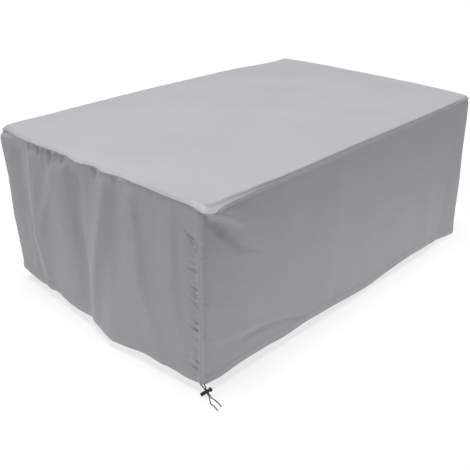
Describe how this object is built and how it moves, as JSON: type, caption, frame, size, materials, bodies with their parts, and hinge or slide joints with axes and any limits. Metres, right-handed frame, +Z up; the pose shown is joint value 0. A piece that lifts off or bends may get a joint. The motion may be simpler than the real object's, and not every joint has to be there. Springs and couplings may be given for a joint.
{
  "type": "patio furniture cover",
  "caption": "Rectangular fitted cover of coated silver-grey cloth, draped over low garden furniture, with a drawcord and press-button cord lock at one hem corner.",
  "frame": {"origin": "middle of the top panel's underside, where the cover rests on the furniture's top", "axes": "+X along the long sides, away from the corner with the cord lock; +Y across, away from the long side that has that corner; +Z up, out of the top"},
  "size_m": [2.2015, 1.4708, 0.812],
  "materials": {
    "top_cloth": "fine woven polyester with a dull silver-grey coating",
    "side_cloth": "fine woven polyester with a dull silver-grey coating",
    "cord": "black braided cord",
    "lock": "black moulded plastic, satin",
    "button": "black moulded plastic, satin"
  },
  "bodies": {
    "cover": {"top_panel": "top_cloth", "side_front": "side_cloth", "side_left": "side_cloth", "side_right": "side_cloth", "side_back": "side_cloth", "drawcord_right": "cord", "drawcord_left": "cord", "lock_barrel": "lock"},
    "button": {"lock_plunger": "button"}
  },
  "joints": [
    {"name": "lock_press", "type": "slide", "parent": "cover", "child": "button", "axis": [-0.6169, 0.5679, -0.5449], "range_m": [0, 0.004], "stiffness_N_per_m": 300, "springref_m": -0.01}
  ]
}
